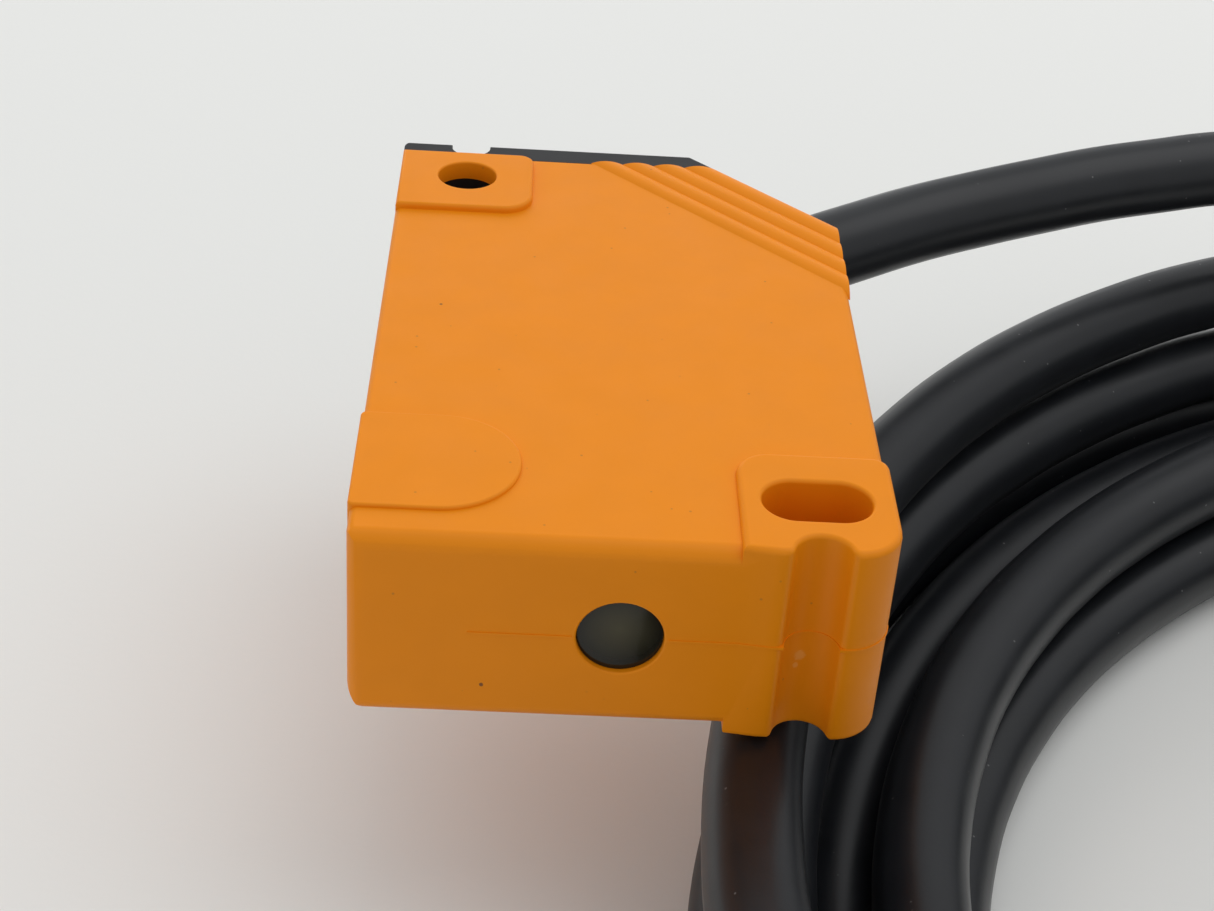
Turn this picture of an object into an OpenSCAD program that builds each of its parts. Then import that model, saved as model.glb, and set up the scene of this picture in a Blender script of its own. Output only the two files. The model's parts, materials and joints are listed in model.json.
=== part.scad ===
// Flat rectangular photoelectric sensor with a free cable.
// The origin is the centre of the round fixing hole at mid thickness. +X points to the slot's
// side, +Y to the end cap, +Z out of a broad face. The lens looks along -Y.

/* [Housing] */
// Width of the housing
body_w = 27; // [26:0.1:28]
// Length of the orange housing, without the end cap
body_l = 41.3; // [40.8:0.1:42]
// Thickness between the plain broad faces
body_t = 11.2; // [11:0.1:11.6]
// Wall thickness
wall = 1.4; // [1.2:0.05:1.5]
// Leg of the 45 degree corner where the cable leaves
corner_leg = 7; // [6.8:0.1:7.2]
// How far the fixing pads stand above each broad face
pad_rise = 0.4; // [0.2:0.05:0.5]
// Radius of the front right vertical edge
front_edge_r = 2.2; // [1:0.1:2.4]

/* [Fixing] */
// Diameter of the round fixing hole
hole_d = 3.6; // [3.2:0.1:3.8]
// Distance of the round hole from the left face
hole_x = 4.2; // [4:0.1:4.4]
// Distance of the round hole from the front face
hole_y = 38; // [37.8:0.1:38.2]
// Width of the fixing slot
slot_w = 3.4; // [3.2:0.1:3.6]
// Length of the fixing slot, end to end
slot_l = 5.6; // [5:0.1:5.8]

/* [Optics] */
// Diameter of the lens opening
lens_d = 4.4; // [4:0.1:4.8]
// Distance of the lens axis from the left face
lens_x = 13.6; // [13:0.1:14]

/* [Grip ribs] */
// Number of ribs beside the 45 degree corner
rib_count = 4; // [2:1:4]
// Distance between ribs
rib_pitch = 1.4; // [1.3:0.1:1.5]

/* [End cap] */
// Thickness of the end cap's outer plate
cap_t = 1.9; // [1.7:0.1:2.1]

/* [Hidden] */

$fn = 48;
eps = 0.01;

// Housing
inner_h = body_t - 2 * wall;                      // height of the hollow
plug_h = inner_h - 0.1;                           // height of what slides into it
pad_t = body_t + 2 * pad_rise;                    // thickness over the fixing pads
pad_y = 33.9;                                     // front side of the pad round the fixing hole
collar_r = 2.5;                                   // the end cap's collar round that hole
collar_h = 9.6;
dome_rise = 0.2;                                  // height of the half-round pad
boss_x = 19.2;                                    // left side of the front fixing pad
boss_y = 8.4;                                     // rear side of the front fixing pad
boss_out = 0.2;                                   // how far that pad stands out in front
groove_r = 1.45;                                  // half-round groove in its front
slot_x = 23.15;
slot_y = 4.2;
cover_y = 25.7;                                   // where the black corner piece starts
rib_rise = 0.2;                                   // how far each rib stands out
rib_r = (pow(rib_pitch / 2, 2) + rib_rise * rib_rise) / (2 * rib_rise);

// Optics
front_y = 2.6;                                    // depth of the lens seat
barrel_r = 3.3;
barrel_bore_r = 2.6;
barrel_end = 8.9;
sensor_board_y = 9;
sensor_board_t = 0.8;

// Main board
board_y0 = 9.9;
board_y1 = 31;
board_top = -1.2;
board_t = 0.8;

// Adjuster
trim_x = 15.3;
trim_z = 0.8;
spindle_r = 1.2;
spindle_y0 = 29;
spindle_y1 = 42.8;

// Indicator
pipe_x0 = 9.6;
pipe_x1 = 11.8;

// Cable: its corner exit, the lead's route, then the coil, which lies on the floor
cable_d = 5.2;
floor_z = -21.9;
corner_mid = [body_w - corner_leg / 2, body_l - corner_leg / 2];
jacket_end = -5.6;                                 // where the jacket stops inside the housing
core_r = 0.35;                                    // cores inside the housing
core_spread = 0.75;
cable_r = cable_d / 2;
LEAD_POINTS = [[15.4, -4.1, 0], [17.2, -2.3, 0], [19, -0.5, 0], [22, 2.3, 0], [26, 5.3, 0],
               [30, 7.9, 0.1], [34.5, 10, 0.4], [39, 11.7, 0.8], [43.4, 13.2, 1.2],
               [47.8, 14.4, 1.5], [52, 15.4, 1.8], [57.5, 16.7, 1.6], [63, 17.9, 1],
               [68.7, 18.8, -0.1], [74.3, 19.1, -1.3], [79.8, 18.8, -2.5], [85.1, 17.7, -3.4],
               [87.7, 16.7, -3.6], [90, 15.5, -3.7]];

// The coil's outer turn is a chain of four arcs, run clockwise: [radius, from angle, to angle]
COIL_ARCS = [[38, 120, 5.88], [160, 5.88, -8.11], [46, -8.11, -180], [71, -180, -240]];
coil_left = [87.5, -46];                          // centre of the last and largest arc
BANDS = [14.6, 10.8, 11.2];                       // outer to inner turn at arcs 0, 2 and 3
second_share = 0.84;                              // how far in the second layer's turn lies
end_at = -62;                                     // where the jacket ends, on the third arc
tail_from = 75;                                   // where the last turn leaves the band, and
tail_run = 45;                                    // over what length
tail_share = 0.5;                                 // how far inside the band it then lies
top_from = 60;                                    // the uppermost turn lies from here
top_to = -126;                                    // to here
turn_step = 6;                                    // degrees between points of a coil outline
tie_at = -150;                                    // where the tie goes round, on the third arc
tie_w = 6;
tie_t = 0.8;
lead_turn = 64;                                   // degrees that the flying leads run on
lead_r = 0.65;
lead_gap = 1.8;                                   // between the leads where they lie apart
LEAD_PLACES = [0, 3, 1, 2];                       // their order there, outermost first
ferrule_r = 0.5;

function dir2(a) = [cos(a), sin(a)];
function ease(u) = let (t = max(0, min(1, u))) t * t * (3 - 2 * t);
function blend(from, to, u) = from + (to - from) * ease(u);
function arc_length(i) = COIL_ARCS[i][0] * abs(COIL_ARCS[i][2] - COIL_ARCS[i][1]) * PI / 180;
function arc_share(i, a) = (a - COIL_ARCS[i][1]) / (COIL_ARCS[i][2] - COIL_ARCS[i][1]);
function run_at(i, a) = (i == 1 ? arc_length(0) : i == 2 ? arc_length(0) + arc_length(1) : 0)
    + arc_share(i, a) * arc_length(i);
function arc_centre(i) = i == 0
    ? coil_left + (COIL_ARCS[3][0] - COIL_ARCS[0][0]) * dir2(COIL_ARCS[0][1])
    : arc_centre(i - 1) + (COIL_ARCS[i - 1][0] - COIL_ARCS[i][0]) * dir2(COIL_ARCS[i][1]);
function band(i, a) =
    i < 2 ? blend(BANDS[0], BANDS[1], run_at(i, a) / (arc_length(0) + arc_length(1)))
    : i == 2 ? blend(BANDS[1], BANDS[2], arc_share(i, a))
    : blend(BANDS[2], BANDS[0], arc_share(i, a));
function tail(i, a) = i == 3 || (i == 2 && a < end_at) ? 0
    : tail_share * ease((run_at(i, a) - tail_from) / tail_run);
// A point of the coil, share of the band and then extra inside its outer turn
function coil_point(i, a, share, extra) =
    arc_centre(i) + (COIL_ARCS[i][0] - share * band(i, a) - extra) * dir2(a);
function arc_steps(i) = max(3, ceil(abs(COIL_ARCS[i][2] - COIL_ARCS[i][1]) / turn_step));
function arc_angle(i, k) =
    COIL_ARCS[i][1] + (COIL_ARCS[i][2] - COIL_ARCS[i][1]) * k / arc_steps(i);
function coil_outline(share, extra, with_tail = 0) =
    [for (i = [0 : 3], k = [0 : arc_steps(i) - 1]) let (a = arc_angle(i, k))
     coil_point(i, a, share + with_tail * tail(i, a), extra)];
function coil_side(extra) =
    [for (i = [0 : 2], k = [0 : arc_steps(i) - 1]) let (a = arc_angle(i, k))
     if (a <= top_from && a >= top_to) coil_point(i, a, 0, extra)];
function reversed(p) = [for (i = [len(p) - 1 : -1 : 0]) p[i]];

// The sensor is drawn from its front left edge at mid thickness and then moved to the frame
module in_frame() translate([-hole_x, -hole_y, 0]) children();

// A cylinder whose axis runs to the rear from y0 to y1
module along_y(r, y0, y1, x = lens_x, z = 0)
    translate([x, y1, z]) rotate([90, 0, 0]) cylinder(r = r, h = y1 - y0);

// Local +Z is the cable's way out of the 45 degree corner, from the corner face
module at_corner()
    translate([corner_mid[0], corner_mid[1], 0]) rotate([0, 0, 45]) rotate([0, 90, 0]) children();

// An upright slab of the given height about mid thickness
module slab(h) linear_extrude(height = h, center = true) children();

module rounded(w, l, r) {
    translate([r, 0]) square([w - 2 * r, l]);
    translate([0, r]) square([w, l - 2 * r]);
    for (x = [r, w - r], y = [r, l - r]) translate([x, y]) circle(r = r);
}

module edge_cut(r) {
    difference() {
        translate([-eps, -eps]) square(r + eps);
        translate([r, r]) circle(r = r);
    }
}

module body_outline() {
    difference() {
        polygon([[0, 0], [body_w, 0], [body_w, body_l - corner_leg],
                 [body_w - corner_leg, body_l], [0, body_l]]);
        edge_cut(0.6);
        translate([body_w, 0]) mirror([1, 0]) edge_cut(front_edge_r);
    }
}

module slot_outline() {
    run = slot_l / 2 - slot_w / 2;
    translate([slot_x - run, slot_y - slot_w / 2]) square([2 * run, slot_w]);
    for (s = [-1, 1]) translate([slot_x + s * run, slot_y]) circle(d = slot_w);
}

module grip_ribs() {
    intersection() {
        slab(pad_t) body_outline();
        for (side = [-1, 1], i = [0 : rib_count - 1])
            translate([corner_mid[0], corner_mid[1], side * (body_t / 2 + rib_rise - rib_r)])
                rotate([0, 0, 45])
                    translate([-(i + 0.5) * rib_pitch, 0, 0])
                        rotate([90, 0, 0]) cylinder(r = rib_r, h = 4 * corner_leg, center = true);
    }
}

module hollow_outline() {
    polygon([[wall, wall], [boss_x - 0.6, wall], [boss_x - 0.6, boss_y + 0.5],
             [body_w - wall, boss_y + 0.5], [body_w - wall, cover_y], [body_w + 1, cover_y],
             [body_w + 1, body_l + 1], [wall, body_l + 1]]);
}

module housing() color([0.93, 0.5, 0.1]) in_frame() {
    difference() {
        union() {
            slab(body_t) body_outline();
            slab(pad_t) translate([boss_x, -boss_out])
                rounded(body_w + boss_out - boss_x, boss_y + boss_out, 1.8);
            slab(pad_t) translate([0, pad_y]) {
                rounded(8.3, body_l - pad_y, 1.8);
                square([6, 2]);
                translate([0, 4]) square([8.3, body_l - pad_y - 4]);
            }
            slab(body_t + 2 * dome_rise) intersection() {
                translate([4.15, 6.6]) union() {
                    circle(r = 4.2);
                    translate([-4.2, -4.2]) square([4.2, 8.4]);
                }
                translate([0, 0.7]) square([9, 12]);
            }
            grip_ribs();
            // seat around the lens opening, inside
            along_y(barrel_r + 0.9, wall - eps, front_y);
        }
        difference() {
            slab(inner_h) hollow_outline();
            along_y(barrel_r + 0.9, 0, front_y);
        }
        along_y(lens_d / 2, -1, front_y + 1);
        along_y(2.9, 1.5, front_y + 1);
        slab(pad_t + 2) slot_outline();
        translate([hole_x, hole_y, 0]) cylinder(d = hole_d, h = pad_t + 2, center = true);
        translate([hole_x, hole_y, 0]) cylinder(r = collar_r + 0.1, h = collar_h + 0.1, center = true);
        translate([slot_x, -boss_out, 0]) cylinder(r = groove_r, h = pad_t + 2, center = true);
    }
}

module cap_outline() {
    // the plate's rear edge, the corner face and the side piece, 0.15 proud of the housing
    polygon([[wall + 0.05, body_l], [wall + 0.05, 33.8], [8.6, 33.8], [8.6, 39.4],
             [17.6, 39.4], [25.5, 31.5], [25.5, cover_y + 0.1], [body_w + 0.15, cover_y + 0.1],
             [body_w + 0.15, body_l - corner_leg + 0.05],
             [body_w - corner_leg + 0.05, body_l + 0.15], [body_w - corner_leg, body_l]]);
}

module rear_cover() color([0.07, 0.07, 0.08]) in_frame() {
    difference() {
        union() {
            slab(plug_h) cap_outline();
            slab(body_t) polygon([[0, body_l], [body_w - corner_leg, body_l],
                                  [body_w - corner_leg - cap_t, body_l + cap_t],
                                  [0, body_l + cap_t]]);
            translate([hole_x, hole_y, 0]) cylinder(r = collar_r, h = collar_h, center = true);
        }
        translate([hole_x, hole_y, 0]) cylinder(d = hole_d, h = pad_t, center = true);
        at_corner() translate([0, 0, -6]) cylinder(r = 3.15, h = 12);
        at_corner() translate([0, 0, -8]) cylinder(r = 3.9, h = 6);
        along_y(spindle_r + 0.3, 39, body_l + cap_t + 1, trim_x, trim_z);
        along_y(2.3, 39.9, 41, trim_x, trim_z);
        along_y(2, 42.7, body_l + cap_t + 1, trim_x, trim_z);
        translate([pipe_x0 - 0.1, 39, -0.3]) cube([2.4, 4, 2.2]);
        translate([pipe_x0 - 0.5, 41.8, -0.7]) cube([3.2, 2, 3]);
        translate([4.25, body_l + cap_t - 0.35, 0]) cylinder(r = 1.25, h = pad_t, center = true);
    }
}

module lens() color([0.2, 0.22, 0.2, 0.7]) in_frame() {
    intersection() {
        along_y(lens_d / 2 - 0.04, 0, front_y);
        translate([lens_x, 12.12, 0]) sphere(r = 12, $fn = 96);
    }
    along_y(2.8, 1.7, front_y);
}

module lens_barrel() color([0.1, 0.1, 0.1]) in_frame() difference() {
    along_y(barrel_r, front_y, barrel_end);
    along_y(barrel_bore_r, front_y - 1, barrel_end + 1);
}

module filter_disc() color([0.35, 0.05, 0.08]) in_frame() along_y(barrel_bore_r - 0.05, 3.4, 3.9);

module aperture_disc() color([0.15, 0.15, 0.16]) in_frame() difference() {
    along_y(barrel_bore_r - 0.05, 6, 6.3);
    along_y(0.7, 5, 7);
}

module photodiode() color([0.12, 0.1, 0.14]) in_frame() {
    translate([lens_x - 1.6, 7.9, -1.3]) cube([3.2, 1.1, 2.6]);
    intersection() {
        along_y(1, 7.2, 8);
        translate([lens_x, 8.2, 0]) sphere(r = 1.1);
    }
}

module sensor_board() color([0.05, 0.3, 0.15]) in_frame()
    translate([9.2, sensor_board_y, -4]) cube([8.8, sensor_board_t, 8]);

module board_pins() color([0.85, 0.7, 0.3]) in_frame()
    for (i = [0 : 5]) translate([10.2 + i * 1.27, sensor_board_y + sensor_board_t, board_top])
        cube([0.45, 1.6, 0.45]);

module shield_can() color([0.75, 0.76, 0.77]) in_frame() difference() {
    translate([9.9, 12.2, board_top]) cube([7.4, 6, 2.8]);
    translate([10.1, 12.4, board_top - 1]) cube([7, 5.6, 3.6]);
}

module main_board() color([0.05, 0.32, 0.16]) in_frame()
    translate([wall + 0.4, board_y0, board_top - board_t])
        cube([body_w - 2 * wall - 0.8, board_y1 - board_y0, board_t]);

module chip(size, legs, pitch) {
    translate([0, 0, board_top + 0.1]) cube(size);
    for (side = [0, 1], i = [0 : legs - 1])
        translate([side * (size[0] + 0.5) - 0.5, 0.5 + i * pitch, board_top]) cube([0.5, 0.4, 0.5]);
}

module signal_ic() color([0.08, 0.08, 0.09]) in_frame()
    translate([4, 18.6, 0]) chip([4.4, 5, 1.1], 4, 1.2);

module regulator() color([0.1, 0.1, 0.1]) in_frame()
    translate([20, 19.4, 0]) chip([2.6, 4.4, 1.4], 3, 1.5);

module output_transistor() color([0.1, 0.1, 0.1]) in_frame()
    translate([20.6, 14, 0]) chip([1.4, 3, 1], 2, 1.5);

module smd_capacitors() color([0.7, 0.58, 0.42]) in_frame()
    for (i = [0 : 4]) translate([3 + i * 2.2, 26, board_top]) cube([0.9, 1.7, 0.9]);

module smd_resistors() color([0.1, 0.1, 0.12]) in_frame()
    for (i = [0 : 2], j = [0, 1])
        translate([3 + i * 1.7, 11.6 + j * 2.8, board_top]) cube([0.8, 1.6, 0.45]);

module led(x) translate([x, 29.8, board_top]) cube([0.8, 1, 0.6]);

module power_led() color([0.6, 0.95, 0.6]) in_frame() led(9.8);

module status_led() color([1, 0.85, 0.3]) in_frame() led(10.9);

module light_pipe() color([0.9, 0.93, 0.95, 0.5]) in_frame() {
    translate([pipe_x0, 29.4, -0.5]) cube([pipe_x1 - pipe_x0, 1.9, 2.3]);
    translate([pipe_x0, 31.3, -0.2]) cube([pipe_x1 - pipe_x0, 10.5, 2]);
}

module indicator_window() color([0.8, 0.8, 0.78, 0.6]) in_frame()
    translate([pipe_x0 - 0.4, 41.8, -0.6]) cube([3, 1.2, 2.8]);

module trimmer_body() color([0.1, 0.25, 0.6]) in_frame() difference() {
    translate([trim_x - 2.2, 27, board_top]) cube([4.4, 4, 4]);
    along_y(spindle_r + 0.06, spindle_y0, 32, trim_x, trim_z);
}

module trimmer_spindle() color([0.9, 0.88, 0.82]) in_frame() difference() {
    along_y(spindle_r, spindle_y0 + 0.05, spindle_y1, trim_x, trim_z);
    translate([trim_x - 0.3, spindle_y1 - 0.7, trim_z - 2]) cube([0.6, 1, 4]);
}

module trimmer_seal() color([0.05, 0.05, 0.05]) in_frame()
    translate([trim_x, 40.45, trim_z]) rotate([90, 0, 0])
        rotate_extrude() translate([spindle_r + 0.05 + 0.45, 0]) circle(r = 0.45, $fn = 24);

module cable_gland() color([0.06, 0.06, 0.07]) in_frame() at_corner()
    rotate_extrude() polygon([[cable_r, -3], [3.8, -3], [3.8, -2.05], [3.1, -2.05], [3.1, 0.3],
                              [2.75, 1.8], [cable_r, 1.8]]);

module cable_clamp() color([0.8, 0.8, 0.78]) in_frame() at_corner() difference() {
    translate([0, 0, -4.7]) cylinder(r = 3, h = 1.5);
    translate([0, 0, -6]) cylinder(r = cable_r, h = 4);
}

// Core number i of four, from the jacket's end to its pad on the main board
module core(i) {
    side = i < 2 ? -core_spread : core_spread;
    up = i % 2 == 0 ? core_spread : -core_spread;
    start = concat(corner_mid + jacket_end * dir2(45) + side * dir2(-45), up);
    pad_x = 18.2 + 1.2 * i + (i > 1 ? 1.6 : 0);
    in_frame() tube([start, start - [0.6, 0.6, 0], [pad_x + 0.6, 31 - 0.3 * i, up],
                     [pad_x + 0.1, 29.8 - 0.3 * i, 0.8 * up], [pad_x, 28.4, board_top + 0.6],
                     [pad_x, 27, board_top + core_r]], core_r, 8);
}

module wire_brown() color([0.35, 0.18, 0.08]) core(0);

module wire_white() color([0.92, 0.92, 0.9]) core(1);

module wire_blue() color([0.1, 0.25, 0.7]) core(2);

module wire_black() color([0.06, 0.06, 0.06]) core(3);

// A tube of the given number of sides, swept along points with level rings
function unit(v) = v / norm(v);
function tangent(p, i) = unit(p[min(i + 1, len(p) - 1)] - p[max(i - 1, 0)]);
function ring(p, i, r, sides) =
    let (t = tangent(p, i), side = unit(cross(t, [0, 0, 1])), up = cross(side, t))
    [for (k = [0 : sides - 1]) p[i] + r * (cos(360 * k / sides) * side + sin(360 * k / sides) * up)];
module tube(p, r, sides) {
    n = len(p);
    points = [for (i = [0 : n - 1]) each ring(p, i, r, sides)];
    walls = [for (i = [0 : n - 2], k = [0 : sides - 1])
             let (a = i * sides + k, b = i * sides + (k + 1) % sides)
             [a, b, b + sides, a + sides]];
    ends = [[for (k = [sides - 1 : -1 : 0]) k], [for (k = [0 : sides - 1]) (n - 1) * sides + k]];
    polyhedron(points = points, faces = concat(walls, ends));
}

module cable_lead() color([0.09, 0.09, 0.1]) tube(LEAD_POINTS, cable_r, 10);

// One layer of the coil, from its outer turn to the turn at the given share of the band
module coil_layer(number, share, with_tail = 0) {
    translate([0, 0, floor_z + number * cable_d - (number > 0 ? eps : 0)])
        linear_extrude(height = cable_d + (number > 0 ? eps : 0)) difference() {
            polygon(coil_outline(0, -cable_r));
            polygon(coil_outline(share, cable_r, with_tail));
        }
}

module cable_coil() color([0.08, 0.08, 0.09]) {
    coil_layer(0, 1, 1);
    coil_layer(1, second_share);
    coil_layer(2, 0);
    translate([0, 0, floor_z + 3 * cable_d - eps]) linear_extrude(height = cable_d + eps)
        polygon(concat(coil_side(-cable_r), reversed(coil_side(cable_r))));
}

// The tie's outline across the coil: distance inward from the outer turn, height over the floor
tie_band = band(2, tie_at);
function tie_outline(grow) = [[-cable_r - grow, 0], [tie_band + cable_r + grow, 0],
    [tie_band + cable_r + grow, cable_d], [second_share * tie_band + cable_r + grow, 2 * cable_d],
    [cable_r + grow, 3 * cable_d + grow], [-cable_r - grow, 3 * cable_d + grow]];

module cable_tie() color([0.1, 0.1, 0.11])
    translate(concat(coil_point(2, tie_at, 0, 0), floor_z))
        rotate([0, 0, tie_at + 180]) rotate([90, 0, 0])
            linear_extrude(height = tie_w, center = true) difference() {
                polygon(tie_outline(tie_t));
                translate([0, tie_t]) polygon(tie_outline(-eps));
            }

// Flying lead number i of four: u runs from 0 at the jacket's end to 1 at its tip
function lead_point(i, u) =
    let (a = end_at - lead_turn * u, s = ease(1.6 * u),
         across = (i % 2 - 0.5) * 1.4 * (1 - s) + (1 + lead_gap * LEAD_PLACES[i]) * s,
         drop = ease(1.6 * u - 0.6),
         up = (1 - drop) * (cable_r + (i < 2 ? 0.7 : -0.7)) + drop * lead_r,
         inset = (1 + tail_share) * band(2, end_at) + across)
    concat(coil_point(2, a, 0, inset), floor_z + up);
function lead_line(i, from, to, n) = [for (k = [0 : n]) lead_point(i, from + (to - from) * k / n)];

module flying_lead(i) tube(lead_line(i, 0, 1, 10), lead_r, 8);

module lead_brown() color([0.35, 0.18, 0.08]) flying_lead(0);

module lead_white() color([0.92, 0.92, 0.9]) flying_lead(1);

module lead_blue() color([0.1, 0.25, 0.7]) flying_lead(2);

module lead_black() color([0.06, 0.06, 0.06]) flying_lead(3);

module wire_ferrules() color([0.8, 0.8, 0.8])
    for (i = [0 : 3]) tube(lead_line(i, 1, 1.2, 2), ferrule_r, 8);

housing();
rear_cover();
lens();
lens_barrel();
filter_disc();
aperture_disc();
photodiode();
sensor_board();
board_pins();
shield_can();
main_board();
signal_ic();
regulator();
output_transistor();
smd_capacitors();
smd_resistors();
power_led();
status_led();
light_pipe();
indicator_window();
trimmer_body();
trimmer_spindle();
trimmer_seal();
cable_gland();
cable_clamp();
wire_brown();
wire_white();
wire_blue();
wire_black();
cable_lead();
cable_coil();
cable_tie();
lead_brown();
lead_white();
lead_blue();
lead_black();
wire_ferrules();
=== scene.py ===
import json
import math

import bmesh
import bpy
from mathutils import Euler, Matrix, Vector


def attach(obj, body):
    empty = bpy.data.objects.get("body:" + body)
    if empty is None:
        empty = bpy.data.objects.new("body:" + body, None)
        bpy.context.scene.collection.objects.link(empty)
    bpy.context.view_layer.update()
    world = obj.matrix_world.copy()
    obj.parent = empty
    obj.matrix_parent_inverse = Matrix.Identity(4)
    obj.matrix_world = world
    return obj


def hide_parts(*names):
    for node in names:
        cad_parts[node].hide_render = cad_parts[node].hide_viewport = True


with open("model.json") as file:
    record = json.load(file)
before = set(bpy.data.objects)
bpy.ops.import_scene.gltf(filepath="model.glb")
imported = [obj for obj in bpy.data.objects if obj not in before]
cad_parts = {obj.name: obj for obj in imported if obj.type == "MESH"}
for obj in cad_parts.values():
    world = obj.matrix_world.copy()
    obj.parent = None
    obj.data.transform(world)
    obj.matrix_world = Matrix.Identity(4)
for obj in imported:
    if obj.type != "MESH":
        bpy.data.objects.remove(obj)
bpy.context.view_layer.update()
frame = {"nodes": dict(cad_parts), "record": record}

MM = 0.001
TO_FRAME = Matrix.Scale(MM, 4) @ Matrix.Translation((-4.2, -38.0, 0))
SMOOTH_BELOW = math.radians(32)

BODY_W, BODY_L, HALF_T = 27.0, 41.3, 5.6
CORNER_LEG = 7.0
PAD_HALF = 6.0
BOSS_X, BOSS_Y, BOSS_OUT = 19.2, 8.4, 0.2
SLOT_X, SLOT_Y, SLOT_R, SLOT_RUN = 23.15, 4.2, 1.7, 1.1
HOLE_X, HOLE_Y, HOLE_R = 4.2, 38.0, 1.8
LENS_X, LENS_R = 13.6, 2.2
GROOVE_R = 1.45
TRIM_X, TRIM_Z = 15.3, 0.8
INNER_HALF = 4.2
WALL = 1.4
CAP_T = 1.9
CORNER_MID = Vector((BODY_W - CORNER_LEG / 2, BODY_L - CORNER_LEG / 2, 0))
DIAGONAL = math.sqrt(0.5)

CABLE_R = 2.6
FLOOR_Z = -21.9
LEAD_POINTS = [
    (15.4, -4.1, 0), (17.2, -2.3, 0), (19, -0.5, 0), (22, 2.3, 0), (26, 5.3, 0),
    (30, 7.9, 0.1), (34.5, 10, 0.4), (39, 11.7, 0.8), (43.4, 13.2, 1.2), (47.8, 14.4, 1.5),
    (52, 15.4, 1.8), (57.5, 16.7, 1.6), (63, 17.9, 1), (68.7, 18.8, -0.1), (74.3, 19.1, -1.3),
    (79.8, 18.8, -2.5), (85.1, 17.7, -3.4),
]
# The coil's outer turn is a chain of four arcs, run clockwise: radius, from angle, to angle
COIL_ARCS = [(38, 120, 5.88), (160, 5.88, -8.11), (46, -8.11, -180), (71, -180, -240)]
COIL_LEFT = Vector((87.5, -46, 0))
BANDS = (14.6, 10.8, 11.2)
# Each turn's place inside the outer turn: share of the band and millimetres, and its height
TURNS = [(0, 0, 18.2), (0, 0, 13), (0.84, 0, 7.4), (0.12, 0, 7.8), (0, 0, 2.6), (0.1, 4.4, 2.6),
         (1, 0, 2.6), (1.5, 0, 2.6)]
# Where on the way round the cable changes from one place to the next
CHANGES = [(170, 226), (173, 233), (103, 155), (105, 136), (104, 135), (104, 134), (75, 120)]
# Length along the outer turn where the coil starts, and where it ends after the whole turns
COIL_START, COIL_END = 39.8, 158
WHOLE_TURNS = 6
COIL_POINT_GAP = 8
# The flying leads go on round the third arc, each in its own place from the outside inward
END_ANGLE, LEAD_TURN, LEAD_R, FERRULE_R = -62, 64, 0.65, 0.5
LEAD_PLACES = (0, 3, 1, 2)
LEAD_GAP = 1.8
TIE_RUN, TIE_WIDTH = 228.8, 4.0

CAMERA_PLACE = (3.73, -122.47, 67.57)
CAMERA_TURN = (56.112, -3.587, -0.532)


# ---------------------------------------------------------------- camera

def add_camera():
    data = bpy.data.cameras.new("camera")
    data.sensor_width = 36
    data.lens = 64.5
    data.clip_start, data.clip_end = 0.005, 10
    obj = bpy.data.objects.new("camera", data)
    turn = Euler([math.radians(a) for a in CAMERA_TURN]).to_matrix().to_4x4()
    obj.matrix_world = Matrix.Translation(Vector(CAMERA_PLACE) * MM) @ turn
    bpy.context.scene.collection.objects.link(obj)
    bpy.context.scene.camera = obj


# ---------------------------------------------------------------- cable route

def direction(degrees):
    return Vector((math.cos(math.radians(degrees)), math.sin(math.radians(degrees)), 0))


def ease(u):
    u = min(1, max(0, u))
    return u * u * (3 - 2 * u)


def arc_centres():
    """The centres of the outer turn's arcs, each arc going on where the one before it ends."""
    centres = [COIL_LEFT + (COIL_ARCS[3][0] - COIL_ARCS[0][0]) * direction(COIL_ARCS[0][1])]
    for here, after in zip(COIL_ARCS, COIL_ARCS[1:]):
        centres.append(centres[-1] + (here[0] - after[0]) * direction(here[2]))
    return centres


CENTRES = arc_centres()
LENGTHS = [r * math.radians(abs(end - start)) for r, start, end in COIL_ARCS]
ROUND = sum(LENGTHS)


def band(run):
    """Distance from the outer turn to the inner one, at that length along the outer turn."""
    second = LENGTHS[0] + LENGTHS[1]
    third = second + LENGTHS[2]
    if run < second:
        return BANDS[0] + (BANDS[1] - BANDS[0]) * ease(run / second)
    if run < third:
        return BANDS[1] + (BANDS[2] - BANDS[1]) * ease((run - second) / LENGTHS[2])
    return BANDS[2] + (BANDS[0] - BANDS[2]) * ease((run - third) / LENGTHS[3])


def track(run, inset):
    """The point that far inside the outer turn, at that length along it."""
    for (radius, start, end), length, centre in zip(COIL_ARCS, LENGTHS, CENTRES):
        if run <= length:
            break
        run -= length
    return centre + (radius - inset) * direction(start + (end - start) * run / length)


def coil_point(run):
    """The cable's centre at that length: each change eases sideways first, and then in height."""
    place = Vector(TURNS[0])
    for k, (start, end) in enumerate(CHANGES):
        u = 1.3 * (run - k * ROUND - start) / (end - start)
        move = Vector(TURNS[k + 1]) - Vector(TURNS[k])
        place += Vector((ease(u) * move.x, ease(u) * move.y, ease(u - 0.3) * move.z))
    here = run % ROUND
    point = track(here, place.x * band(here) + place.y)
    return Vector((point.x, point.y, FLOOR_Z + place.z))


def cable_points():
    end = WHOLE_TURNS * ROUND + COIL_END
    count = round((end - COIL_START) / COIL_POINT_GAP)
    coil = [coil_point(COIL_START + (end - COIL_START) * k / count) for k in range(count + 1)]
    return [Vector(p) for p in LEAD_POINTS] + coil


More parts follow.
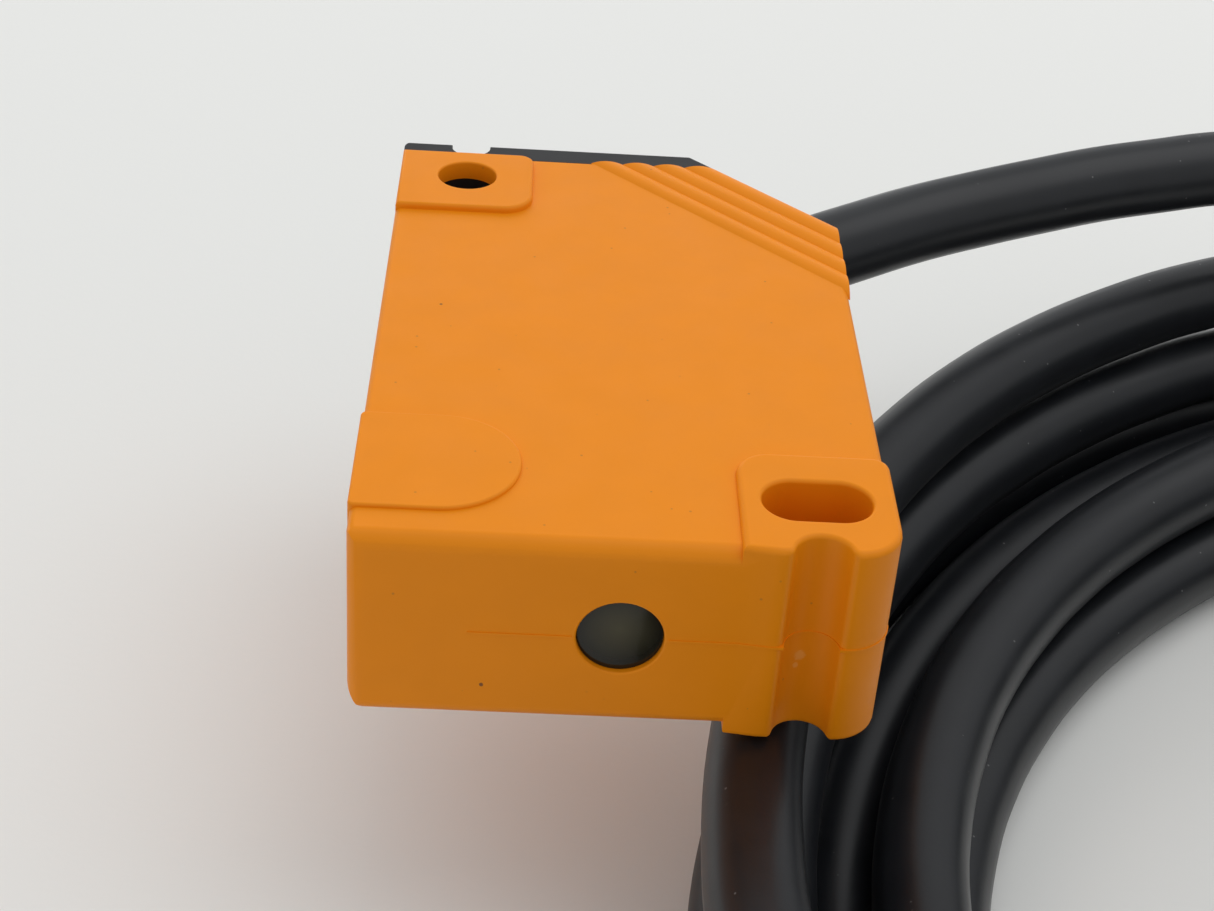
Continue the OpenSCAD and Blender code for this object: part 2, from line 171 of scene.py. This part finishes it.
def lead_point(i, u):
    """A flying lead's centre: the four leave the jacket two by two and spread on the floor."""
    spread = ease(1.6 * u)
    across = (i % 2 - 0.5) * 1.4 * (1 - spread) + (1 + LEAD_GAP * LEAD_PLACES[i]) * spread
    drop = ease(1.6 * u - 0.6)
    up = (1 - drop) * (CABLE_R + (0.7 if i < 2 else -0.7)) + drop * LEAD_R
    inset = 1.5 * band(COIL_END) + across
    point = CENTRES[2] + (COIL_ARCS[2][0] - inset) * direction(END_ANGLE - LEAD_TURN * u)
    return Vector((point.x, point.y, FLOOR_Z + up))


def curve(name, lines, radius, material, resolution=8):
    data = bpy.data.curves.new(name, "CURVE")
    data.dimensions = "3D"
    data.resolution_u = 5
    data.bevel_depth = radius * MM
    data.bevel_resolution = resolution
    data.use_fill_caps = True
    for points in lines:
        spline = data.splines.new("BEZIER")
        spline.bezier_points.add(len(points) - 1)
        for point, at in zip(spline.bezier_points, points):
            point.co = at * MM
            point.handle_left_type = point.handle_right_type = "AUTO"
    data.materials.append(material)
    obj = bpy.data.objects.new(name, data)
    bpy.context.scene.collection.objects.link(obj)
    return obj


# ---------------------------------------------------------------- solids, in millimetres

def rounded(corners, step=9):
    """A counter-clockwise outline with the corners (x, y, radius) rounded."""
    points = []
    count = len(corners)
    for i, (x, y, r) in enumerate(corners):
        here = Vector((x, y))
        before = (Vector(corners[i - 1][:2]) - here).normalized()
        after = (Vector(corners[(i + 1) % count][:2]) - here).normalized()
        half = before.angle(after) / 2
        if r <= 0:
            points.append(here)
            continue
        centre = here + (before + after).normalized() * r / math.sin(half)
        start = here + before * r / math.tan(half) - centre
        turn = math.pi - 2 * half
        if before.cross(after) > 0:
            turn = -turn
        steps = max(2, round(math.degrees(abs(turn)) / step))
        for k in range(steps + 1):
            points.append(centre + Matrix.Rotation(turn * k / steps, 2) @ start)
    return points


def circle(x, y, r, count=64):
    return [Vector((x, y)) + r * Vector(direction(360 * k / count)[:2]) for k in range(count)]


def stadium(x, y, run, r, count=24):
    right = [Vector((x + run, y)) + r * Vector(direction(-90 + 180 * k / count)[:2])
             for k in range(count + 1)]
    left = [Vector((x - run, y)) + r * Vector(direction(90 + 180 * k / count)[:2])
            for k in range(count + 1)]
    return right + left


def grown(outline, distance):
    """The outline moved outward by that distance, each corner along its mitre."""
    moved = []
    for i, here in enumerate(outline):
        a = (here - outline[i - 1]).normalized()
        b = (outline[(i + 1) % len(outline)] - here).normalized()
        normal = Vector((a.y + b.y, -a.x - b.x)).normalized()
        moved.append(here + normal * distance / max(0.5, normal.dot(Vector((a.y, -a.x)))))
    return moved


def loft(rings):
    """A solid through rings of (outline, height), bottom to top, all with the same point count."""
    bm = bmesh.new()
    loops = [[bm.verts.new((p.x, p.y, z)) for p in outline] for outline, z in rings]
    for low, high in zip(loops, loops[1:]):
        for i in range(len(low)):
            j = (i + 1) % len(low)
            bm.faces.new((low[i], low[j], high[j], high[i]))
    bm.faces.new(list(reversed(loops[0])))
    bm.faces.new(loops[-1])
    mesh = bpy.data.meshes.new("solid")
    bm.to_mesh(mesh)
    bm.free()
    obj = bpy.data.objects.new("solid", mesh)
    bpy.context.scene.collection.objects.link(obj)
    return obj


def prism(outline, low, high, edge_low=0.0, edge_high=None, steps=4):
    """An upright slab whose lower and upper edges are rounded, or flared where negative."""
    edge_high = edge_low if edge_high is None else edge_high
    rings = []
    for edge, z, sign in ((edge_low, low, 1), (edge_high, high, -1)):
        part = []
        for k in range(steps + 1 if edge else 1):
            a = math.pi / 2 * k / steps
            size = abs(edge)
            inset = edge * (1 - math.sin(a))
            part.append((grown(outline, -inset), z + sign * size * (1 - math.cos(a))))
        if edge < 0:
            part.insert(0, (grown(outline, -edge), z - sign))
        rings += part if sign > 0 else part[::-1]
    return loft(rings)


def along_y(obj):
    """Turns an upright solid so that its height runs along +Y and its plan's y is up."""
    obj.data.transform(Matrix(((1, 0, 0, 0), (0, 0, 1, 0), (0, 1, 0, 0), (0, 0, 0, 1))))
    obj.data.flip_normals()
    return obj


def along_x(obj):
    """Turns an upright solid so that its height runs along +X, its plan's x along +Y."""
    obj.data.transform(Matrix(((0, 0, 1, 0), (1, 0, 0, 0), (0, 1, 0, 0), (0, 0, 0, 1))))
    return obj


def at_corner(obj):
    """Moves an upright solid so that its height runs out of the 45 degree corner."""
    turn = Matrix.Rotation(math.radians(45), 4, "Z") @ Matrix.Rotation(math.radians(90), 4, "Y")
    obj.data.transform(Matrix.Translation(CORNER_MID) @ turn)
    return obj


def baked(obj):
    """Applies the object's modifiers to its mesh."""
    graph = bpy.context.evaluated_depsgraph_get()
    mesh = bpy.data.meshes.new_from_object(obj.evaluated_get(graph))
    obj.modifiers.clear()
    obj.data = mesh
    return obj


def combine(obj, operation, tools):
    """Adds the tools to the object, cuts them from it or keeps what they share, exactly."""
    for tool in tools:
        modifier = obj.modifiers.new("combine", "BOOLEAN")
        modifier.operation = operation
        modifier.solver = "EXACT"
        modifier.object = tool
    baked(obj)
    for tool in tools:
        bpy.data.objects.remove(tool)
    return obj


def finished(obj, name, material):
    """Names a solid made in millimetres, moves it to the shared frame and smooths its shading."""
    obj.name = obj.data.name = name
    obj.data.transform(TO_FRAME)
    bm = bmesh.new()
    bm.from_mesh(obj.data)
    bmesh.ops.remove_doubles(bm, verts=bm.verts, dist=2e-6)
    bmesh.ops.dissolve_degenerate(bm, edges=bm.edges, dist=1e-6)
    for face in bm.faces:
        face.smooth = True
    for line in bm.edges:
        line.smooth = len(line.link_faces) == 2 and line.calc_face_angle(0) < SMOOTH_BELOW
    bm.to_mesh(obj.data)
    bm.free()
    normals = obj.modifiers.new("normals", "WEIGHTED_NORMAL")
    normals.keep_sharp = True
    normals.weight = 100
    baked(obj)
    obj.data.materials.clear()
    obj.data.materials.append(material)
    return obj


# ---------------------------------------------------------------- materials

def new_material(name):
    material = bpy.data.materials.new(name)
    material.use_nodes = True
    return material, material.node_tree.nodes, material.node_tree.links


def noise(nodes, links, size, detail=3.0):
    """A fine noise whose features are that many millimetres across."""
    place = nodes.new("ShaderNodeTexCoord")
    texture = nodes.new("ShaderNodeTexNoise")
    texture.inputs["Scale"].default_value = 1 / (size * MM)
    texture.inputs["Detail"].default_value = detail
    links.new(place.outputs["Object"], texture.inputs["Vector"])
    return texture.outputs["Fac"]


def ranged(nodes, links, value, start, end, low, high):
    """The value taken from start..end to low..high and kept in that range."""
    node = nodes.new("ShaderNodeMapRange")
    sockets = ("From Min", "From Max", "To Min", "To Max")
    for socket, number in zip(sockets, (start, end, low, high)):
        node.inputs[socket].default_value = number
    links.new(value, node.inputs["Value"])
    return node.outputs["Result"]


def mixed(nodes, links, share, first, second):
    """The first colour turned into the second one where share is 1."""
    node = nodes.new("ShaderNodeMix")
    node.data_type = "RGBA"
    links.new(share, node.inputs["Factor"])
    for socket, value in ((6, first), (7, second)):
        if isinstance(value, tuple):
            node.inputs[socket].default_value = (*value, 1)
        else:
            links.new(value, node.inputs[socket])
    return node.outputs[2]


def plain(name, color, roughness=0.4, metallic=0.0, grain=0.002, grain_size=0.1, **inputs):
    """A principled material with a fine grain of that depth and size in millimetres."""
    material, nodes, links = new_material(name)
    shader = nodes["Principled BSDF"]
    shader.inputs["Base Color"].default_value = (*color, 1)
    shader.inputs["Metallic"].default_value = metallic
    for key, value in inputs.items():
        shader.inputs[key.replace("_", " ")].default_value = value
    uneven = noise(nodes, links, 20 * grain_size)
    links.new(ranged(nodes, links, uneven, 0.3, 0.7, roughness - 0.04, roughness + 0.04),
              shader.inputs["Roughness"])
    bump = nodes.new("ShaderNodeBump")
    bump.inputs["Distance"].default_value = grain * MM
    bump.inputs["Strength"].default_value = 1
    links.new(noise(nodes, links, grain_size), bump.inputs["Height"])
    links.new(bump.outputs["Normal"], shader.inputs["Normal"])
    return material


def spotted(material, color, spots, ragged=1.2):
    """Adds ragged spots of the given colour to a material: (x, y, z, radius) in millimetres."""
    nodes, links = material.node_tree.nodes, material.node_tree.links
    base = nodes["Principled BSDF"].inputs["Base Color"]
    place = nodes.new("ShaderNodeTexCoord")
    wander = noise(nodes, links, 0.25)
    for x, y, z, radius in spots:
        away = nodes.new("ShaderNodeVectorMath")
        away.operation = "DISTANCE"
        away.inputs[1].default_value = TO_FRAME @ Vector((x, y, z))
        links.new(place.outputs["Object"], away.inputs[0])
        uneven = nodes.new("ShaderNodeMath")
        uneven.operation = "MULTIPLY_ADD"
        uneven.inputs[1].default_value = ragged * radius * MM
        links.new(wander, uneven.inputs[0])
        links.new(away.outputs["Value"], uneven.inputs[2])
        share = ranged(nodes, links, uneven.outputs[0], ragged * radius * MM, 1.6 * radius * MM,
                       0.85, 0)
        before = base.links[0].from_socket if base.links else tuple(base.default_value[:3])
        links.new(mixed(nodes, links, share, before, color), base)


def dusty(material, color, dust, cloud=1.03, speck=0.06, rare=0.82):
    """Gives a material clouds that are lighter by that factor and sparse dust specks: speck is
    their size, and rare the share of places without one."""
    nodes, links = material.node_tree.nodes, material.node_tree.links
    clouds = ranged(nodes, links, noise(nodes, links, 3.0), 0.35, 0.7, 0, 1)
    tone = mixed(nodes, links, clouds, color, tuple(cloud * v for v in color))
    place = nodes.new("ShaderNodeTexCoord")
    cells = nodes.new("ShaderNodeTexVoronoi")
    cells.inputs["Scale"].default_value = 1 / (0.9 * MM)
    links.new(place.outputs["Object"], cells.inputs["Vector"])
    chosen = nodes.new("ShaderNodeSeparateColor")
    links.new(cells.outputs["Color"], chosen.inputs["Color"])
    near = ranged(nodes, links, cells.outputs["Distance"], speck, 1.6 * speck, 1, 0)
    some = ranged(nodes, links, chosen.outputs["Red"], rare, rare + 0.02, 0, 1)
    both = nodes.new("ShaderNodeMath")
    both.operation = "MULTIPLY"
    links.new(near, both.inputs[0])
    links.new(some, both.inputs[1])
    links.new(mixed(nodes, links, both.outputs[0], tone, dust),
              nodes["Principled BSDF"].inputs["Base Color"])


ORANGE = (0.84, 0.255, 0.003)
JACKET = (0.008, 0.009, 0.011)
orange = plain("orange plastic", ORANGE, 0.45, grain=0.004, grain_size=0.12,
               Specular_IOR_Level=0.2)
dusty(orange, ORANGE, (0.62, 0.2, 0.02))
spotted(orange, (0.12, 0.05, 0.03), [(6.8, 0, -3.3, 0.12), (3.4, 22.5, HALF_T, 0.1)])
# Painted light: two lighter orange patches low on the back wall of the groove, standing in for
# light bounced inside it
spotted(orange, (0.88, 0.35, 0.06), [(SLOT_X - 0.3, 1.2, -1.5, 0.35),
                                     (SLOT_X - 0.5, 1.2, -2.1, 0.2)])
black = plain("black plastic", (0.012, 0.012, 0.013), 0.45, grain=0.006, grain_size=0.12)
jacket = plain("cable jacket", JACKET, 0.37, grain=0.004, grain_size=0.3, Specular_IOR_Level=0.42)
dusty(jacket, JACKET, (0.12, 0.12, 0.12), 1.3, 0.06, 0.8)
rubber = plain("black rubber", (0.012, 0.012, 0.013), 0.55, grain=0.01, grain_size=0.15)
smoky = plain("smoky lens", (0.014, 0.013, 0.008), 0.12, grain=0.0003, Specular_IOR_Level=0.35)
# Painted highlight: a smooth lighter patch just above the lens centre, standing in for light
# reflected off the dome
spotted(smoky, (0.07, 0.06, 0.03), [(LENS_X, 0.2, 0.5, 1.3)], 0.05)
tinned = plain("tinned steel", (0.72, 0.72, 0.7), 0.3, 1.0, grain=0.003)
clear = plain("clear plastic", (0.34, 0.37, 0.38), 0.1, grain=0.0003)
MATERIALS = {
    "filter": plain("dark red filter", (0.2, 0.02, 0.04), 0.1, grain=0.001),
    "chip_plastic": plain("chip plastic", (0.03, 0.03, 0.035), 0.5, grain=0.01),
    "board": plain("circuit board", (0.02, 0.16, 0.08), 0.3, grain=0.01, grain_size=0.4),
    "pin_metal": plain("plated pins", (0.85, 0.6, 0.25), 0.25, 1.0, grain=0.002),
    "tinned_steel": tinned,
    "ceramic": plain("chip ceramic", (0.5, 0.36, 0.22), 0.5, grain=0.01),
    "green_led": plain("green indicator", (0.5, 0.85, 0.5), 0.2, grain=0.002),
    "yellow_led": plain("yellow indicator", (0.9, 0.7, 0.2), 0.2, grain=0.002),
    "clear_plastic": clear,
    "trimmer_blue": plain("blue plastic", (0.04, 0.14, 0.45), 0.35, grain=0.004),
    "spindle_white": plain("white plastic", (0.75, 0.72, 0.65), 0.4, grain=0.004),
    "black_rubber": rubber,
    "black_plastic": black,
    "lens": smoky,
    "housing": orange,
    "cable_jacket": jacket,
    "wire_brown": plain("brown insulation", (0.14, 0.05, 0.02), 0.35, grain=0.003),
    "wire_white": plain("white insulation", (0.8, 0.8, 0.78), 0.35, grain=0.003),
    "wire_blue": plain("blue insulation", (0.03, 0.1, 0.45), 0.35, grain=0.003),
    "wire_black": plain("black insulation", (0.02, 0.02, 0.022), 0.35, grain=0.003),
}


def paint_cad_nodes():
    for part in frame["record"]["subparts"]:
        mesh = frame["nodes"][part["node"]].data
        mesh.materials.clear()
        mesh.materials.append(MATERIALS[part["material_slot"]])


# ---------------------------------------------------------------- housing

def housing():
    plan = rounded([(0, 0, 0.9), (BODY_W, 0, 2.2), (BODY_W, BODY_L - CORNER_LEG, 0.4),
                    (BODY_W - CORNER_LEG, BODY_L, 0.4), (0, BODY_L, 0.15)])
    front = rounded([(0, -HALF_T, 1.8), (BODY_W, -HALF_T, 1), (BODY_W, HALF_T, 0.4),
                     (0, HALF_T, 0.4)])
    side = rounded([(0, -HALF_T, 1), (BODY_L, -HALF_T, 0.1), (BODY_L, HALF_T, 0.1),
                    (0, HALF_T, 0.9)])
    body = prism(plan, -HALF_T - 1, HALF_T + 1)
    combine(body, "INTERSECT", [along_y(prism(front, -1, BODY_L + 1)),
                                along_x(prism(side, -1, BODY_W + 1))])
    right = BODY_W + BOSS_OUT
    front_pad = rounded([(BOSS_X, 0.02, 0), (BOSS_X + 1.7, -BOSS_OUT, 3), (right, -BOSS_OUT, 2.4),
                         (right, BOSS_Y, 0.9), (BOSS_X, BOSS_Y, 1.8)])
    rear_pad = rounded([(0.01, 33.9, 0), (8.3, 33.9, 1.8), (8.3, BODY_L - 0.02, 0.9),
                        (0.01, BODY_L - 0.02, 0)])
    side_pad = rounded([(-0.12, 2.4, 0.3), (8.35, 2.4, 4.15), (8.35, 10.8, 4.15),
                        (-0.12, 10.8, 0.3)], 6)
    pads = [prism(front_pad, -PAD_HALF, PAD_HALF, 0.35),
            prism(rear_pad, -PAD_HALF, PAD_HALF, 0.22),
            prism(side_pad, -HALF_T - 0.2, HALF_T + 0.2, 0.15)]
    combine(body, "UNION", pads + grip_ribs(plan))
    combine(body, "DIFFERENCE", housing_cutters())
    combine(body, "UNION", [mould_line(plan, front_pad)])
    return finished(body, "housing_shell", orange)


def grip_ribs(plan):
    """Four shallow round ridges side by side on each broad face, along the 45 degree corner."""
    pitch, rise = 1.4, 0.2
    radius = ((pitch / 2) ** 2 + rise ** 2) / (2 * rise)
    out = Vector((1, 1, 0)) * DIAGONAL
    turn = Matrix.Rotation(math.radians(45), 4, "Z") @ Matrix.Rotation(math.radians(90), 4, "X")
    ribs = []
    for side in (-1, 1):
        for i in range(4):
            rib = prism(circle(0, 0, radius, 96), -16, 16)
            middle = CORNER_MID - out * pitch * (i + 0.5)
            middle.z = side * (HALF_T + rise - radius)
            rib.data.transform(Matrix.Translation(middle) @ turn)
            low, high = sorted((side * (HALF_T - 0.3), side * (HALF_T + 1)))
            ribs.append(combine(rib, "INTERSECT", [prism(grown(plan, 0.08), low, high)]))
    return ribs


def mould_line(plan, front_pad):
    """A fine raised line across the front face and the groove, at mid thickness."""
    line = prism(grown(plan, 0.05), -0.06, 0.06)
    combine(line, "UNION", [prism(grown(front_pad, 0.05), -0.07, 0.07)])
    window = [(6, -1, 0), (BODY_W + 1, -1, 0), (BODY_W + 1, 2, 0), (6, 2, 0)]
    combine(line, "INTERSECT", [prism(rounded(window), -0.08, 0.08)])
    combine(line, "DIFFERENCE", [
        prism(circle(SLOT_X, -BOSS_OUT, GROOVE_R - 0.05), -1, 1),
        prism(rounded([(LENS_X - 2.4, -1, 0), (LENS_X + 2.4, -1, 0), (LENS_X + 2.4, 3, 0),
                       (LENS_X - 2.4, 3, 0)]), -1, 1),
    ])
    return line


def groove_outline():
    """Plan of the half-round groove in the front pad, with its two mouth edges rounded."""
    fillet = 0.45
    mouth = -BOSS_OUT
    reach = math.sqrt((GROOVE_R + fillet) ** 2 - fillet ** 2)
    lean = math.degrees(math.asin(fillet / (GROOVE_R + fillet)))
    points = [Vector((SLOT_X + reach, mouth - 1)), Vector((SLOT_X + reach, mouth))]
    for k in range(1, 5):
        a = -90 - (90 - lean) * k / 4
        points.append(Vector((SLOT_X + reach, mouth + fillet)) + fillet * Vector(direction(a)[:2]))
    for k in range(1, 16):
        a = lean + (180 - 2 * lean) * k / 16
        points.append(Vector((SLOT_X, mouth)) + GROOVE_R * Vector(direction(a)[:2]))
    left = [Vector((2 * SLOT_X - p.x, p.y)) for p in reversed(points[:6])]
    return points + left


def housing_cutters():
    """The cavity with its lens ring left standing, the holes, the slot and the groove."""
    hollow = prism(rounded([(WALL, WALL, 0), (BOSS_X - 0.6, WALL, 0),
                            (BOSS_X - 0.6, BOSS_Y + 0.5, 0), (BODY_W - WALL, BOSS_Y + 0.5, 0),
                            (BODY_W - WALL, 25.7, 0), (BODY_W + 1, 25.7, 0),
                            (BODY_W + 1, BODY_L + 1, 0), (WALL, BODY_L + 1, 0)]),
                   -INNER_HALF, INNER_HALF)
    combine(hollow, "DIFFERENCE", [along_y(prism(circle(LENS_X, 0, 4.2), 0, 2.6))])
    return [
        hollow,
        along_y(prism(circle(LENS_X, 0, LENS_R), 0, 3.5, -0.12, 0)),
        along_y(prism(circle(LENS_X, 0, 2.9), 1.5, 3.6)),
        prism(stadium(SLOT_X, SLOT_Y, SLOT_RUN, SLOT_R), -PAD_HALF, PAD_HALF, -0.22),
        prism(circle(HOLE_X, HOLE_Y, HOLE_R), -PAD_HALF, PAD_HALF, -0.12),
        prism(circle(HOLE_X, HOLE_Y, 2.6), -4.85, 4.85),
        prism(groove_outline(), -PAD_HALF, PAD_HALF, -0.25),
    ]


# ---------------------------------------------------------------- end cap

def end_cap():
    """A plug inside the housing's open rear and corner, with a plate over its rear edge."""
    plug = rounded([(1.45, BODY_L + 0.2, 0), (1.45, 33.8, 0), (8.6, 33.8, 0.4), (8.6, 39.4, 0),
                    (17.6, 39.4, 0), (25.5, 31.5, 0), (25.5, 25.8, 0), (BODY_W + 0.15, 25.8, 0.1),
                    (BODY_W + 0.15, BODY_L - CORNER_LEG + 0.05, 0.3),
                    (BODY_W - CORNER_LEG + 0.05, BODY_L + 0.15, 0.1)])
    rear = BODY_L + CAP_T
    corner = BODY_W - CORNER_LEG
    outline = rounded([(0, BODY_L + 0.01, 0), (corner, BODY_L + 0.01, 0),
                       (corner - CAP_T, rear, 0.5), (0, rear, 0.8)])
    side = rounded([(BODY_L - 1, -HALF_T + 0.02, 0), (rear, -HALF_T + 0.02, 0.3),
                    (rear, HALF_T - 0.02, 0.3), (BODY_L - 1, HALF_T - 0.02, 0)])
    plate = prism(outline, -HALF_T - 1, HALF_T + 1)
    combine(plate, "INTERSECT", [along_x(prism(side, -1, 22))])
    cap = prism(plug, -4.15, 4.15)
    combine(cap, "UNION", [plate, prism(circle(HOLE_X, HOLE_Y, 2.5), -4.8, 4.8)])
    combine(cap, "DIFFERENCE", [
        prism(circle(HOLE_X, HOLE_Y, HOLE_R), -7, 7),
        at_corner(prism(circle(0, 0, 3.15), -6, 6)),
        at_corner(prism(circle(0, 0, 3.9), -8, -2)),
        along_y(prism(circle(TRIM_X, TRIM_Z, 1.5), 39, rear + 1)),
        along_y(prism(circle(TRIM_X, TRIM_Z, 2.3), 39.9, 41)),
        along_y(prism(circle(TRIM_X, TRIM_Z, 2), 42.7, rear, 0, -0.15)),
        along_y(prism(rounded([(9.5, -0.3, 0), (11.9, -0.3, 0), (11.9, 1.9, 0),
                               (9.5, 1.9, 0)]), 39, 43)),
        along_y(prism(rounded([(9.1, -0.7, 0.3), (12.3, -0.7, 0.3), (12.3, 2.3, 0.3),
                               (9.1, 2.3, 0.3)]), 41.8, 44.5)),
        prism(circle(4.25, rear - 0.35, 1.25), -7, 7),
    ])
    return finished(cap, "end_cap", black)


# ---------------------------------------------------------------- cable tie

def cable_tie():
    """A strap round the coil with a small head on top; x runs inward across the coil, y up."""
    inner, step = band(TIE_RUN) + CABLE_R, TURNS[2][0] * band(TIE_RUN) + CABLE_R
    around = [(-CABLE_R, 0.8, 1.2), (inner, 0.8, 1.2), (inner, 2 * CABLE_R, 1.2),
              (step, 4 * CABLE_R, 1.2), (CABLE_R, 6 * CABLE_R, 1.2), (-CABLE_R, 6 * CABLE_R, 1.2)]
    inside = grown(rounded(around), 0.05)
    strap = prism(grown(inside, 0.75), -TIE_WIDTH / 2, TIE_WIDTH / 2, 0.2)
    combine(strap, "DIFFERENCE", [prism(inside, -TIE_WIDTH, TIE_WIDTH)])
    top = 6 * CABLE_R + 0.5
    head = prism(rounded([(-2.2, top, 0.6), (2.4, top, 0.6), (2.4, top + 3.4, 0.6),
                          (-2.2, top + 3.4, 0.6)]), -3, 3, 0.5)
    end = prism(rounded([(-4.6, top + 1.1, 0.3), (-2, top + 1.1, 0.3), (-2, top + 2.1, 0.3),
                         (-4.6, top + 2.1, 0.3)]), -TIE_WIDTH / 2, TIE_WIDTH / 2, 0.2)
    combine(strap, "UNION", [head, end])
    outer = track(TIE_RUN, 0)
    inward = (track(TIE_RUN, 1) - outer).normalized()
    up = Vector((0, 0, 1))
    turn = Matrix((inward, up, inward.cross(up))).transposed().to_4x4()
    strap.data.transform(TO_FRAME.inverted() @ Matrix.Scale(MM, 4)
                         @ Matrix.Translation((outer.x, outer.y, FLOOR_Z)) @ turn)
    return finished(strap, "tie", black)


# ---------------------------------------------------------------- surroundings

def add_floor():
    bpy.ops.mesh.primitive_plane_add(size=3, location=(0.05, 0.1, FLOOR_Z * MM))
    floor = bpy.context.object
    floor.name = "floor"
    floor.data.materials.append(plain("floor", (0.80, 0.80, 0.775), 0.7, grain=0.01,
                                      grain_size=0.5))


def add_light(name, place, target, size, power, glossy=True):
    """A soft round light aimed at the target; without glossy it shows in no reflection."""
    data = bpy.data.lights.new(name, "AREA")
    data.shape = "DISK"
    data.size = size
    data.energy = power
    obj = bpy.data.objects.new(name, data)
    obj.location = place
    obj.rotation_euler = (Vector(target) - Vector(place)).to_track_quat("-Z", "Y").to_euler()
    obj.visible_glossy = glossy
    bpy.context.scene.collection.objects.link(obj)


def add_lights():
    world = bpy.data.worlds.new("room")
    world.use_nodes = True
    background = world.node_tree.nodes["Background"]
    background.inputs["Color"].default_value = (0.97, 0.985, 1, 1)
    background.inputs["Strength"].default_value = 0.63
    bpy.context.scene.world = world
    add_light("ceiling", (0.45, 0.1, 1.1), (0.02, 0, 0), 1.2, 3.4)
    add_light("back", (-0.1, 1.1, 0.35), (0.01, -0.02, -0.01), 1.0, 9, False)
    bpy.context.scene.view_settings.view_transform = "Standard"


# ---------------------------------------------------------------- the model

add_camera()
cable = curve("cable", [cable_points()], CABLE_R, jacket)
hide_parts("cable_lead", "cable_coil")
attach(cable, "sensor")
tie = cable_tie()
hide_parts("cable_tie")
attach(tie, "sensor")
for i, colour in enumerate(("brown", "white", "blue", "black")):
    line = [lead_point(i, k / 12) for k in range(13)]
    lead = curve("core_" + colour, [line], LEAD_R, MATERIALS["wire_" + colour], 4)
    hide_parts("lead_" + colour)
    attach(lead, "sensor")
ends = [[lead_point(i, 1 + 0.2 * k / 3) for k in range(4)] for i in range(4)]
ferrules = curve("ferrules", ends, FERRULE_R, tinned, 4)
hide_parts("wire_ferrules")
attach(ferrules, "sensor")

paint_cad_nodes()
for made, node, slot in ((housing(), "housing", "housing"),
                         (end_cap(), "rear_cover", "black_plastic")):
    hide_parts(node)
    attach(made, "sensor")

add_floor()
add_lights()
